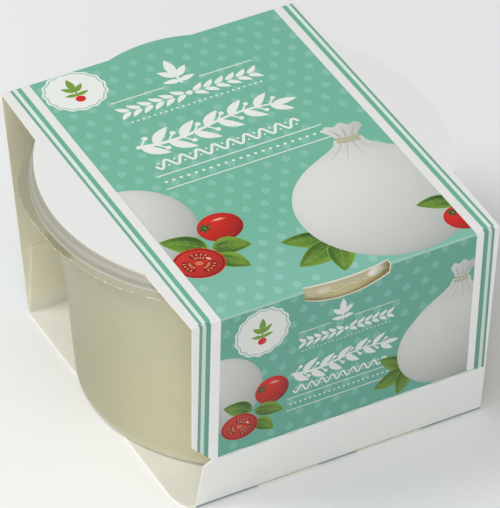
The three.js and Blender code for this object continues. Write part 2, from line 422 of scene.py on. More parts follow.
@dataclass
class Panel:
    """Where a panel's drawing lies on the blank. It leans by shear, and sign is -1 where it is turned."""

    origin: float
    sign: float = 1.0
    shear: float = 0.0
    tone: float = 1.0  # painted shade: a factor on its inks, lower on a panel where less light falls

    def to_blank(self, points):
        x, y = np.array(points, float).T
        return np.stack([self.sign * (x + self.shear * y), self.origin + self.sign * y], 1)

    def from_blank(self, points):
        y = (points[:, 1] - self.origin) * self.sign
        return np.stack([points[:, 0] * self.sign - self.shear * y, y], 1)


drawing = []  # (outline, paint, spacing) of the shapes drawn so far for the next panel
inked = []  # (outline on the blank, panel, paint), the later over the earlier
fine = []  # (outline on the blank, spacing) of shapes whose colour changes across them


def print_panel(panel):
    """Prints the drawing on the blank, and clears it."""
    for outline, paint, spacing in drawing:
        ring = panel.to_blank(outline)
        inked.append((ring, panel, paint))
        if spacing:
            fine.append((ring, spacing))
    drawing.clear()


def plain(colour):
    value = linear(colour)
    return lambda p: np.tile(value, (len(p), 1))


bare = plain(WHITE)  # no ink: the white board itself, without the panel's painted shade


def ink(outline, paint=INK_WHITE, spacing=None):
    """Draws a shape in a paint or one colour. Spacing is its mesh's, where the colour changes."""
    drawing.append((outline, paint if callable(paint) else plain(paint), spacing))


LIGHT_FROM = np.array((-0.52, -0.62))  # the light on drawn food, across the panel and out of it
LIGHT_RISE = 0.62


def shaded(centre, radii, light, dark, turn=0):
    """The colours of a round thing lit from the upper left."""
    c, s = cos_sin(turn)
    axes = np.array([(c, -s), (s, c)])
    low, high = linear(dark), linear(light)

    def paint(p):
        n = (p - np.array(centre)) @ axes / np.array(radii) @ axes.T
        rise = np.sqrt(np.clip(1 - (n**2).sum(1), 0, 1))
        lit = np.clip(0.5 + 0.5 * (n @ LIGHT_FROM + LIGHT_RISE * rise), 0, 1)
        return low + lit[:, None] * (high - low)

    return paint


def graded(start, stop, first, second):
    """Colours that run from one point to another."""
    a, b = np.array(start, float), np.array(stop, float)
    low, high = linear(first), linear(second)

    def paint(p):
        t = np.clip((p - a) @ (b - a) / ((b - a) @ (b - a)), 0, 1)[:, None]
        return low + t * (high - low)

    return paint


# the ground, its pattern and the margins

FIELD_LEFT = -32.7
FIELD_RIGHT = 33.9
STRIPES = ((-36.16, -34.95), (-37.87, -37.12), (36.2, 37.4), (38.3, 39))
STRIPE_FRONT_SHIFT = (-0.3, -0.3, -0.35, -0.35)
PATTERN_PITCH = 4.93
PATTERN_ROW = 4.36
DROP_WIDTH = 2.15
DROP_HEIGHT = 2.75
PRINT_GAP = 0.45  # unprinted edge over the tear line
BLEED = 5  # how far print runs past the card's side
EAR_BLEED = 20  # and where it covers the ears


def block(left, right, top, foot, paint=INK_WHITE):
    ink([(left, top), (right, top), (right, foot), (left, foot)], paint)


def drop(x, y):
    w, h = DROP_WIDTH / 2, DROP_HEIGHT / 2
    return [*arc((x, y + h - w), w, -20, 200, 8), (x, y - h)]


def drops(first_x, first_y, count, covered, paint):
    """The staggered drop pattern, left out where other shapes cover it."""
    columns = int((FIELD_RIGHT - FIELD_LEFT) / PATTERN_PITCH) + 3
    for row in range(count):
        y = first_y + row * PATTERN_ROW
        for column in range(columns):
            x = first_x + (row % 2) * PATTERN_PITCH / 2 + column * PATTERN_PITCH
            shown = FIELD_LEFT - 0.5 < x < FIELD_RIGHT + 0.5
            if shown and not any(inside(np.array([(x, y)]), shape)[0] for shape in covered):
                ink(drop(x, y), paint)


def margins(top, foot, paint=TURQUOISE_LINE, shift=(0, 0, 0, 0)):
    """White side margins with their two pairs of stripes, over anything that runs under them."""
    edge = HALF + EAR_BLEED
    for near, far in ((FIELD_LEFT, -edge), (FIELD_RIGHT, edge)):
        block(near, far, top, foot, bare)
    moved = [(near + move, far + move) for (near, far), move in zip(STRIPES, shift)]
    for (near, far), line in zip(moved, (paint, THIN_LINE) * 2):
        block(near, far, top, foot, line)
    block(moved[0][0], moved[1][1], top, foot, MINT)
    block(moved[2][1], moved[3][0], top, foot, MINT)


# ornaments: they stand where a pack has its lettering


def bar(start, stop, y, width, paint=INK_WHITE):
    block(start, stop, y - width / 2, y + width / 2, paint)


def dot(centre, radius, paint=INK_WHITE):
    ink(oval(centre, radius, radius, steps=16 if radius > 0.5 else 8), paint)


def dots(start, stop, y, radius, count):
    for x in np.linspace(start, stop, count):
        dot((x, y), radius)


def sprig(foot, length, paint=INK_WHITE):
    """Five leaves on a short stem that grows up the panel."""
    x, y = foot
    ink(stroke([(x, y), (x, y - length * 0.5)], length * 0.07), paint)
    for angle, size, rise in ((0, 0.6, 0.4), (-48, 0.5, 0.28), (48, 0.5, 0.28),
                              (-80, 0.42, 0.1), (80, 0.42, 0.1)):
        c, s = cos_sin(angle)
        base = (x, y - rise * length)
        tip = (x + s * size * length, base[1] - c * size * length)
        ink(blade(base, tip, size * length * 0.42, steps=8), paint)


def seal(centre, radii):
    """A round white seal with a wavy edge and a fine ring, round a green sprig with a red berry."""
    lobes, depth = 15, 0.028
    angles = np.radians(np.arange(0, 360, 3))
    edge = (1 + depth * np.cos(lobes * angles)) * np.array([np.cos(angles), np.sin(angles)])
    for scale, paint in ((1, INK_WHITE), (0.93, TURQUOISE_LINE), (0.9, INK_WHITE)):
        ink(centre + edge.T * radii * scale, paint)
    x, y = centre
    size = radii[0]
    sprig((x, y + size * 0.3), size * 0.95, LEAF_LIGHT)
    dot((x, y + size * 0.42), size * 0.16, TOMATO_LIGHT)


def laurel(start, stop, y, height, pairs):
    """A bold band of leaf pairs that point away from a dot in the middle."""
    middle = (start + stop) / 2
    pitch = (stop - start) / (2 * pairs + 1)
    dot((middle, y), height * 0.17)
    for side in (-1, 1):
        for i in range(pairs):
            foot = middle + side * pitch * (i + 0.4)
            for up in (-1, 1):
                base = (foot, y + up * height * 0.06)
                tip = (foot + side * pitch * 1.05, y + up * height * 0.5)
                ink(blade(base, tip, height * 0.3, bend=-side * up * height * 0.05))


def branch(start, stop, y, height, count, width):
    """A long branch whose leaves stand to both sides in turn, each with a berry opposite."""
    bow = 0.1 * height
    stem = wave(start, stop, y, bow, 1, 48)
    ink(stroke(stem, width * np.linspace(1, 0.45, len(stem))))
    for i in range(count):
        place = (i + 0.3) / count
        side = -1 if i % 2 else 1
        foot = np.array([start + place * (stop - start), y + bow * math.sin(2 * math.pi * place)])
        size = height * (0.62 - 0.14 * place)
        tip = foot + size * np.array([0.74, side * 0.67])
        ink(blade(foot, tip, size * 0.36, side * size * 0.06))
        stalk = foot + size * np.array([0.3, -side * 0.34])
        ink(stroke([foot, stalk], width * 0.4))
        dot(stalk, size * 0.1)
    ink(blade(stem[-3], stem[-1] + np.array([height * 0.36, 0]), height * 0.17))


def ripple(start, stop, y, height, count, width):
    """A single wave with a dot in each bay."""
    ink(stroke(wave(start, stop, y, height / 2, count, 14 * count), width))
    for i in range(2 * count):
        x = start + (i + 0.5) / (2 * count) * (stop - start)
        side = 1 if i % 2 else -1
        dot((x, y + side * height * 0.28), height * 0.11)


# food: simple round shapes with a leaf or two; the sizes within one are shares of its own


def veined_leaf(base, tip, width, bend=0):
    """A leaf with a light edge, a midrib and side veins."""
    b, t = np.array(base, float), np.array(tip, float)
    axis = t - b
    side = beside(axis)
    ink(blade(base, tip, width, bend), LEAF_LIGHT)
    ink(blade(b + axis * 0.03, t - axis * 0.03, width * 0.9, bend),
        graded(b - side * width / 2, b + side * width / 2, LEAF_LIGHT, LEAF_DARK), spacing=0.9)
    ink(blade(b + axis * 0.1 - side * width * 0.04, t - axis * 0.12, width * 0.5, bend * 0.8),
        graded(b, t, LEAF_DARK, LEAF_LIGHT), spacing=0.9)
    s = np.linspace(0.05, 0.9, 8)[:, None]
    rib = b + s * axis + np.sin(np.pi * s) * bend * side
    ink(stroke(rib, np.linspace(0.3, 0.08, 8) * width / 7), LEAF_LIGHT)
    for place in (0.22, 0.4, 0.57, 0.72):
        bow = math.sin(math.pi * place)
        root = b + place * axis + bow * bend * side
        for way in (-1, 1):
            end = root + axis * 0.14 + way * side * width * 0.32 * bow
            vein = stroke([root, (root + end) / 2, end], (0.022 * width, 0.018 * width, 0.008 * width))
            ink(vein, LEAF_LIGHT)


class Round:
    """Places on a round thing: u along its long axis and w up from it, as shares of its radii."""

    def __init__(self, centre, wide, tall, turn):
        c, s = cos_sin(turn)
        self.centre = np.array(centre, float)
        self.along, self.up = wide * np.array([c, s]), tall * np.array([s, -c])
        self.wide, self.tall, self.turn = wide, tall, turn

    def at(self, u, w):
        return self.centre + self.along * u + self.up * w

    def spot(self, place, size, paint, turn=0, steps=40, spacing=None):
        """An oval on it, with its place and size as shares too, turned from its long axis."""
        wide, tall = self.wide * size[0], self.tall * size[1]
        ink(oval(self.at(*place), wide, tall, self.turn + turn, steps), paint, spacing)

    def shade(self, light, dark):
        return shaded(self.centre, (self.wide, self.tall), light, dark, self.turn)


def tomato(centre, wide, tall, turn):
    """A whole small tomato with its calyx and its shine."""
    ball = Round(centre, wide, tall, turn)
    ball.spot((0, 0), (1, 1), ball.shade(TOMATO_LIGHT, TOMATO_DARK), spacing=0.8)
    ball.spot((0.3, 0.45), (0.34, 0.1), SHINE, 22, 18)
    ball.spot((0.3, 0.48), (0.2, 0.045), SHINE_MIDDLE, 22, 14)
    ball.spot((-0.2, -0.72), (0.4, 0.07), SHINE_FAINT, 8, 16)
    for angle in (20, 75, 130, 190, 245, 305):
        c, s = cos_sin(angle)
        tip = ball.at(-0.5 + 0.36 * c, 0.42 + 0.36 * s)
        ink(blade(ball.at(-0.5, 0.42), tip, wide * 0.13, wide * 0.04, steps=6), LEAF_DARK)
    dot(ball.at(-0.5, 0.42), wide * 0.06, LEAF_LIGHT)


def half_tomato(centre, wide, tall, turn):
    """A cut tomato: skin, flesh and three wet chambers of seeds round a pale core."""
    cut = Round(centre, wide, tall, turn)
    cut.spot((0, 0), (1, 1), TOMATO_LIGHT)
    cut.spot((0, 0), (0.95, 0.94), SKIN)
    cut.spot((0, 0), (0.9, 0.88), cut.shade(FLESH_LIGHT, FLESH_DARK), spacing=0.8)
    for angle in (90, 210, 330):
        c, s = cos_sin(angle)
        u, w = 0.46 * c, 0.44 * s
        cut.spot((u, w), (0.36, 0.25), CHAMBER, 90 - angle, 20)
        cut.spot((u * 0.94, w * 0.94 + 0.04), (0.28, 0.16), CHAMBER_WET, 90 - angle, 16)
        for step in (-26, -9, 9, 26):
            c, s = cos_sin(angle + step)
            for reach in (0.36, 0.58):
                cut.spot((reach * c, reach * s), (0.055, 0.032), SEED, -angle - step, 8)
    cut.spot((0, 0), (0.15, 0.13), CORE, 0, 14)
    cut.spot((0.36, 0.3), (0.12, 0.045), WET_SHINE, 30, 10)


def round_cheese(centre, wide, tall):
    ink(oval(centre, wide, tall, steps=72),
        shaded(centre, (wide, tall), CHEESE_LIGHT, CHEESE_DARK), spacing=1.4)


def gathered_cheese(centre, radius, lean, stretch):
    """A round cheese whose skin is gathered into a neck, tied, with a ruffled tuft on top.

    The neck leans by degrees and is drawn out by stretch.
    """
    ball = Round(centre, radius, radius, lean)
    paint = ball.shade(CHEESE_LIGHT, CHEESE_DARK)
    shoulder = 0.62

    def at(u, w):
        return ball.at(u, w if w < shoulder else shoulder + (w - shoulder) * stretch)

    def mirrored(half, middle=()):
        return [at(-u, w) for u, w in half] + [at(u, w) for u, w in (*middle, *half[::-1])]

    flank = [(0.82, 0.57), (0.66, 0.755), (0.48, 0.895), (0.32, 1), (0.2, 1.1), (0.135, 1.21)]
    ink(oval(centre, radius, radius, steps=96), paint, spacing=1.3)
    ink([*smooth(mirrored(flank), 4), at(0.4, 0.2), at(-0.4, 0.2)], paint, spacing=1)
    for u, foot, depth in ((-0.09, -0.3, 0.86), (-0.03, -0.12, 0.8), (0.03, 0.1, 0.84), (0.09, 0.3, 0.88)):
        crease = smooth([at(u, 1.18), at(u * 0.6 + foot * 0.3, 1.04), at(foot, depth)], 4)
        ink(stroke(crease, np.linspace(0.035, 0.006, len(crease)) * radius), CREASE_LIGHT)
    tuft = [(0.13, 1.2), (0.16, 1.29), (0.23, 1.38), (0.18, 1.47), (0.09, 1.44)]
    ink(smooth(mirrored(tuft, [(0, 1.5)]), 4),
        graded(at(-0.3, 1.4), at(0.3, 1.3), CHEESE_LIGHT, TUFT_DARK), spacing=0.8)
    for u in (-0.13, 0, 0.13):
        pleat = [at(u * 0.5, 1.24), at(u * 0.9, 1.34), at(u * 1.2, 1.42)]
        ink(stroke(pleat, np.array((0.03, 0.02, 0.006)) * radius), CREASE_DARK)
    for w in (1.17, 1.225):
        band = [at(u, w - 0.03 * math.cos(u * 9)) for u in np.linspace(-0.14, 0.14, 8)]
        ink(stroke(band, 0.042 * radius), STRING_DARK)
        ink(stroke(band, 0.03 * radius), STRING)


# the three printed panels


def worn_and_highlit_fold():
    """The ink is thin along the front fold: a pale line, partly worn ink and partly a painted highlight
    on the rounded fold, with small bare spots of worn ink.
    """
    random = np.random.default_rng(11)
    # the pale line: worn ink and a painted highlight
    bar(FIELD_LEFT, FIELD_RIGHT, 0.05, 0.7, FOLD_WEAR_AND_HIGHLIGHT)
    for _ in range(150):
        x = random.uniform(FIELD_LEFT + 0.6, FIELD_RIGHT - 0.9)
        y = random.normal(0.08, 0.3)
        long, thin = random.uniform(0.12, 0.4), random.uniform(0.06, 0.13)
        ink(oval((x, y), long, thin, steps=6), SPECK)


def leaves(root, *blades):
    """Leaves from one root, each with its tip, width and bend."""
    for tip, width, bend in blades:
        veined_leaf(root, tip, width, bend)


def draw_top():
    big, big_radius = (21, 29.6), 21.3
    left, left_wide, left_tall = (-35.2, 12.4), 14.7, 15.3
    covered = [oval(*place) for place in (
        (big, big_radius + 0.8, big_radius + 0.8), ((25.5, 2.5), 8.5, 7.5),
        (left, left_wide + 0.8, left_tall + 0.8), ((-19.5, 24.5), 8.5, 9),
        ((-24, 32), 9.5, 8), ((-2, 41), 8, 8), ((-3.5, 33.6), 5, 3),
    )]
    top, foot = BACK_FOLD - 1, FRONT_FOLD + 1
    # painted light: the ground and the drops grow paler towards the panel's front
    pale_from, pale_to = (0, 24), (0, 42)
    block(FIELD_LEFT, FIELD_RIGHT, top, foot, graded(pale_from, pale_to, TURQUOISE, TURQUOISE_NEAR_LIT))
    drops(-36.03, -47.85, 23, covered, graded(pale_from, pale_to, DROP, DROP_NEAR_LIT))
    seal((-24, -43.7), (8, 8))
    sprig((0.4, -34.6), 10.2)
    for start, stop in ((-18.7, -4.4), (5.2, 19.4)):
        bar(start, stop, -34.8, 0.3)
    laurel(-19, 19.2, -30, 5, 6)
    dots(-17.2, 17.4, -25.8, 0.32, 24)
    branch(-21, 17.4, -16, 12.6, 11, 1.2)
    ripple(-20.2, 18, -7.2, 3, 9, 0.72)
    for y in (-3.4, 2):
        bar(-21.8, 22, y, 0.32)
    dots(-20.6, 20.8, -0.7, 0.42, 22)
    leaves((4, 38), ((-7.8, 32.8), 6.2, 0.5), ((-8, 43), 7.2, -0.6), ((0.6, 49.4), 6.4, -0.4))
    gathered_cheese(big, big_radius, 9, 1)
    veined_leaf((36.5, 38.6), (26.6, 35.4), 5.4, 0.5)
    tomato((34.6, 44.4), 4.9, 4.7, 20)
    round_cheese(left, left_wide, left_tall)
    veined_leaf((-23.4, 26.8), (-32.6, 19.4), 6.6, 0.5)
    tomato((-17.3, 20.8), 5.7, 5.2, -18)
    veined_leaf((-22.6, 27), (-13.6, 30), 6.4, -0.5)
    veined_leaf((-23.6, 30), (-17.4, 37.2), 5.6, -0.4)
    half_tomato((-27.7, 30.7), 6.2, 5.6, 24)
    margins(top, foot)


def draw_front():
    big, big_radius = (28.8, 32.8), 14.4
    left, left_wide, left_tall = (-33.4, 26.2), 12, 12.6
    edge = TEAR_DOWN - PRINT_GAP
    covered = [oval(*place) for place in (
        (big, big_radius + 0.6, big_radius + 0.6), ((30.5, 12), 6, 8),
        (left, left_wide + 0.6, left_tall + 0.6), ((-19.5, 31.5), 6.6, 8),
        ((-24, 38.6), 8.5, 6), ((12, 41), 6, 6.5), ((12, 33.4), 4, 3),
    )]
    block(FIELD_LEFT, FIELD_RIGHT, 0, edge, TURQUOISE_FRONT_SHADED)
    drops(-38.5, 0.94, 12, covered, DROP_FRONT_SHADED)
    worn_and_highlit_fold()
    seal((-21.9, 8.8), (7.1, 7.8))
    sprig((-0.9, 13.6), 7)
    for start, stop in ((-12.2, -4), (2.2, 12.8)):
        bar(start, stop, 13.4, 0.22)
    laurel(-12.4, 13, 17, 3.5, 6)
    dots(-11.2, 11.8, 19.9, 0.2, 24)
    branch(-13.8, 11.4, 26.8, 8.8, 11, 0.85)
    ripple(-13.2, 11.4, 32.5, 2.1, 9, 0.5)
    for y in (35, 39.1):
        bar(-14.8, 14.2, y, 0.26)
    dots(-13.8, 13.2, 37.05, 0.3, 22)
    leaves((17.2, 38), ((9.6, 32.2), 4.6, 0.3), ((8.4, 42.2), 5.4, -0.4), ((15, 46.6), 4.4, -0.3))
    gathered_cheese(big, big_radius, 5, 1.34)
    round_cheese(left, left_wide, left_tall)
    veined_leaf((-24, 34.6), (-31.6, 30.6), 5, 0.3)
    tomato((-18.9, 29.7), 4.4, 4.6, -18)
    veined_leaf((-23.4, 34.6), (-15.6, 37.8), 4.6, -0.3)
    veined_leaf((-23.6, 38.2), (-18.2, 43.4), 4.2, -0.3)
    half_tomato((-27.2, 38.8), 4.9, 4.3, 20)
    margins(-1, TEAR_DOWN, LINE_FRONT_SHADED, STRIPE_FRONT_SHIFT)
    side = HALF + BLEED
    block(-side, side, edge, SLANT, bare)
    for (near, far), move in zip(STRIPES, STRIPE_FRONT_SHIFT):
        bar(near + move, far + move, TEAR_DOWN - PRINT_GAP / 2, PRINT_GAP, TURQUOISE_LINE)
    for i in range(CUT_COUNT):
        bar(cut_end(i) - CUT_LENGTH, cut_end(i), edge, 0.5, TEAR_MARK)
    bar(-side, side, SLANT, 1.15, FOOT_LINE)


def draw_back():
    """The same ground and margins, with a white label of plain lines."""
    block(FIELD_LEFT, FIELD_RIGHT, 0, SLANT, TURQUOISE)
    drops(-36.03, 3, 14, [[(-23, 11), (23, 11), (23, 51), (-23, 51)]], DROP)
    margins(-1, SLANT)
    label = []
    for corner, start in (((19, 15), -90), ((19, 47), 0), ((-19, 47), 90), ((-19, 15), 180)):
        label += arc(corner, 3, start, start + 90, 6)
    ink(label, bare)
    for y in range(20, 41, 4):
        bar(-17, 17, y, 0.35, TURQUOISE_LINE)


# ---- meshes ----


def on_board(points, outline, holes):
    """Which points lie on the blank and in none of its holes."""
    keep = inside(points, outline)
    for hole in holes:
        keep &= ~inside(points, hole)
    return keep


def lattice(low, high, spacing):
    x, v = np.meshgrid(np.arange(low[0], high[0], spacing), np.arange(low[1], high[1], spacing))
    return np.stack([x.ravel(), v.ravel()], 1)


GRID = 2.6  # spacing of the points where the colour is even
FOLD_ROWS = 7
FOLD_END = 0.15  # beside the back window the fold begins within this


def grid_points(outline, holes):
    """Points all over the blank, closer together where the colours change."""
    ring = np.array(outline)
    found = [lattice(ring.min(0) + 1, ring.max(0), GRID)]
    for shape, spacing in fine:
        points = lattice(shape.min(0), shape.max(0), spacing)
        found.append(points[inside(points, shape)])
    points = np.concatenate(found)
    keep = on_board(points, outline, holes)
    for i in FOLDS:
        keep &= np.abs(points[:, 1] - CORNER_PLACES[i]) > fold_reach(i)[0] + 0.1
    return points[keep]


def cut_blank():
    """The blank as flat triangles that follow the outline, the holes, the folds and the print."""
    outline = blank_outline()
    holes = [window_cut(FRONT_FOLD, 1), window_cut(BACK_FOLD, -1), *map(tear_cut, range(CUT_COUNT))]
    points, edges = [], []

    def add(ring, closed=True):
        first, count = len(points), len(ring)
        points.extend(ring)
        edges.extend((first + i, first + (i + 1) % count) for i in range(count if closed else count - 1))

    for ring in (outline, *holes):
        add(ring)
    for i in FOLDS:
        reach = fold_reach(i)[0]
        for v in np.linspace(CORNER_PLACES[i] - reach, CORNER_PLACES[i] + reach, FOLD_ROWS):
            add([(-HALF - 3, v), (HALF + 3, v)], closed=False)
    for x in (WINDOW_HALF, WINDOW_HALF + FOLD_END):
        for side in (-1, 1):
            add([(side * x, BACK_FOLD + 1), (side * x, BACK_FOLD - 1)], closed=False)
    for ring, _, _ in inked:
        add(ring)
    points.extend(grid_points(outline, holes))
    flat = [Vector((float(x), float(v))) for x, v in points]
    verts, _, faces, *_ = delaunay_2d_cdt(flat, edges, [], 0, 1e-5, False)
    verts, faces = np.array([tuple(p) for p in verts]), np.array([tuple(f) for f in faces])
    faces = faces[on_board(verts[faces].mean(1), outline, holes)]
    used, index = np.unique(faces, return_inverse=True)
    return verts[used], index.reshape(-1, 3)[:, ::-1]  # turned over, because v runs against Y


def corner_colours(verts, faces):
    """A colour for each corner of each triangle, from the topmost shape printed there."""
    middle = verts[faces].mean(1)
    top = np.full(len(faces), -1)
    for i, (ring, _, _) in enumerate(inked):
        top[inside(middle, ring)] = i
    colours = np.tile(linear(WHITE), (len(faces), 3, 1))
    for i in np.unique(top[top >= 0]):
        _, panel, paint = inked[i]
        corners = panel.from_blank(verts[faces[top == i]].reshape(-1, 2))
        # painted shade darkens all the panel's inks, but not the bare board
        tone = 1.0 if paint is bare else panel.tone
        colours[top == i] = (paint(corners) * tone).reshape(-1, 3, 3)
    return colours


def linked(name, data):
    """A new object in the scene."""
    made = bpy.data.objects.new(name, data)
    bpy.context.scene.collection.objects.link(made)
    return made


def make_object(name, verts, faces, materials, material_index=()):
    """A mesh object from points in millimetres."""
    mesh = bpy.data.meshes.new(name)
    mesh.from_pydata((np.asarray(verts) * MM).tolist(), [], faces)
    for material in materials:
        mesh.materials.append(material)
    if len(material_index):
        mesh.polygons.foreach_set("material_index", np.asarray(material_index, np.int32))
    mesh.validate()
    return linked(name, mesh)


def sharpen(made, degrees):
    """Smooth shading that breaks where faces meet at more than an angle."""
    made.data.shade_smooth()
    made.data.set_sharp_from_angle(angle=math.radians(degrees))
    return made


def make_sleeve(materials):
    verts, faces = cut_blank()
    count = len(verts)
    sides = faces[:, [0, 1, 1, 2, 2, 0]].reshape(-1, 2).tolist()
    seen = {tuple(side) for side in sides}
    rim = np.array([(a, b) for a, b in sides if (b, a) not in seen])
    walls = np.stack([rim[:, 1], rim[:, 0], rim[:, 0] + count, rim[:, 1] + count], 1)
    skins = np.concatenate([faces, faces[:, ::-1] + count])
    index = np.repeat((0, 1, 2), (len(faces), len(faces), len(walls)))
    both = np.concatenate([folded(verts, 0), folded(verts, BOARD)])
    made = make_object("card_sleeve", both, skins.tolist() + walls.tolist(), materials, index)
    colours = np.ones((len(made.data.loops), 4), np.float32)
    colours[: faces.size, :3] = corner_colours(verts, faces).reshape(-1, 3)
    ink_layer = made.data.color_attributes.new("ink", "FLOAT_COLOR", "CORNER")
    ink_layer.data.foreach_set("color", colours.ravel())
    return sharpen(made, 35)


def hoop(radius, height, angles):
    """Points round the axis."""
    return np.stack(np.broadcast_arrays(radius * np.cos(angles), radius * np.sin(angles), height), 1)


def around(first, second, steps, flip=False):
    """Quads from one hoop to another."""
    j = np.arange(steps)
    k = (j + 1) % steps
    low, high = first * steps, second * steps
    quads = [low + j, high + j, high + k, low + k] if flip else [low + j, low + k, high + k, high + j]
    return np.stack(quads, 1).tolist()


def revolved(name, profile, steps, material):
    """A solid of revolution about Z. The profile starts and ends on the axis."""
    angles = np.linspace(0, 2 * math.pi, steps, endpoint=False)
    hoops = [hoop(r, z, angles) for r, z in profile[1:-1]]
    verts = np.concatenate([*hoops, [(0, 0, profile[0][1]), (0, 0, profile[-1][1])]])
    faces = [quad for i in range(len(hoops) - 1) for quad in around(i, i + 1, steps)]
    low, high, last = len(verts) - 2, len(verts) - 1, len(verts) - 2 - steps
    for j in range(steps):
        k = (j + 1) % steps
        faces += [(low, k, j), (high, last + j, last + k)]
    return sharpen(make_object(name, verts, faces, [material]), 35)


def make_tub(material):
    """The tapered tub with its rounded foot and its rim."""
    (base, floor), (upper, high) = TUB_WALL[:2]
    inward, rise = FOOT_ROUND
    slope = (upper - base) / (high - floor)
    side = base + slope * rise
    ring_z = floor + FOOT_RING[0][1]
    profile = [
        (0, ring_z),
        *[(r, floor + up) for r, up in FOOT_RING],
        (side - 0.74 * inward, floor),
        *arc((side - inward, floor + rise), FOOT_ROUND, -60, 0, 12),
        *smooth([(side + slope * 6, floor + rise + 6), *TUB_WALL[1:], RIM_ROOT], 8),
        *arc((RIM_ROOT[0] + RIM_ROUND, RIM_ROOT[1]), RIM_ROUND, 180, 100, 6),
        *RIM_EDGE,
        (0, RIM_EDGE[-1][1]),
    ]
    return revolved("tub_wall", profile, 256, material)


def make_lid(material):
    """The lid: its foot, a bead, the band up to its shoulder and a flat top."""
    bead = arc(LID_BEAD, BEAD_ROUND, -75, 40, 6)
    profile = [(0, LID_FOOT[0][1]), *LID_FOOT, *bead, *LID_BAND, (0, LID_BAND[-1][1])]
    return revolved("lid_rim", profile, 360, material)


def waves(angles, amounts):
    """A sum of waves round the tub."""
    return sum(high * np.sin(many * angles + start) for many, high, start in amounts)


def hump(angles, middle, width, height):
    """A smooth rise at one place round the tub, in degrees."""
    away = (np.degrees(angles) - middle + 180) % 360 - 180
    return height * np.exp(-((away / width) ** 2))


def film_edge(angles):
    """The radius and height of the film's ragged outer edge, and how far it is in a rim window."""
    flap = hump(angles, *FILM_FLAP)
    radius = FILM_EDGE[0] + flap + hump(angles, *FILM_PRESS) + waves(angles, EDGE_WAVES)
    across = np.abs(radius * np.cos(angles) - SLEEVE_X)
    in_window = np.clip((WINDOW_HALF + FILM_FADE - across) / FILM_FADE, 0, 1)
    height = FILM_EDGE[1] - FLAP_SAG * flap - FILM_HANG * in_window + waves(angles, SAG_WAVES)
    reach = TOP_FOLD - BOARD - FILM_GAP - LEAN * (HEIGHT - height) / HEIGHT
    limit = (reach + np.sign(np.sin(angles)) * SLEEVE_Y) / np.maximum(np.abs(np.sin(angles)), 0.5)
    return np.minimum(radius, limit), height, in_window


def make_film(film, edge_highlights):
    """The lid's thin film stands out under the bead, crinkled, with a ragged edge.

    The front and back panels press it down, so that it hangs lower in the rim windows.
    """
    steps, rows = 1080, len(FILM_ROWS)
    angles = np.linspace(0, 2 * math.pi, steps, endpoint=False)
    edge_r, edge_z, in_window = film_edge(angles)
    crinkle = in_window * waves(angles, CRINKLE_WAVES)
    verts = []
    for sink in (0, FILM_THICK):
        for share in FILM_ROWS:
            creases = ((31, 1, 5 * share), (67, 0.8, 9 * share), (121, 0.6, 2))
            crease = CREASE * share * waves(angles, creases)
            crease += crinkle * math.exp(-(((share - CRINKLE_AT) / CRINKLE_WIDTH) ** 2))
            r = FILM_ROOT[0] + (edge_r - FILM_ROOT[0]) * share
            z = FILM_ROOT[1] + (edge_z - FILM_ROOT[1]) * share**1.4 + crease - sink
            verts.append(hoop(r, z, angles))
    faces, shining = [], []
    for i in range(rows - 1):
        faces += around(i, i + 1, steps, flip=True) + around(rows + i, rows + i + 1, steps)
        # faces that take the painted edge highlights: the outer rim, and the crinkle in a window
        bright = i == rows - 2 or (i == CRINKLE_ROW) & (in_window > 0.5)
        shining += [bright * np.ones(steps), np.zeros(steps)]
    faces += around(rows - 1, 2 * rows - 1, steps, flip=True) + around(0, rows, steps)
    shining.append(np.ones(2 * steps))
    made = make_object("lid_film", np.concatenate(verts), faces, [film, edge_highlights], np.concatenate(shining))
    return sharpen(made, 50)


def make_tab(index, span, material):
    """A lock tab: a sliver of card that stands out of the front bottom fold."""
    left = [(span[0] + along, -FOOT_FOLD - out) for along, out in TAB_END]
    right = [(span[1] - along, -FOOT_FOLD - out) for along, out in TAB_END[::-1]]
    count = len(left + right)
    verts = [(x + SLEEVE_X, y + SLEEVE_Y, z) for z in (TAB_LIFT, BOARD) for x, y in left + right]
    faces = [tuple(range(count))[::-1], tuple(range(count, 2 * count))]
    faces += [(i, (i + 1) % count, count + (i + 1) % count, count + i) for i in range(count)]
    return make_object(f"lock_tab_{index}", verts, faces, [material])


# ---- materials ----


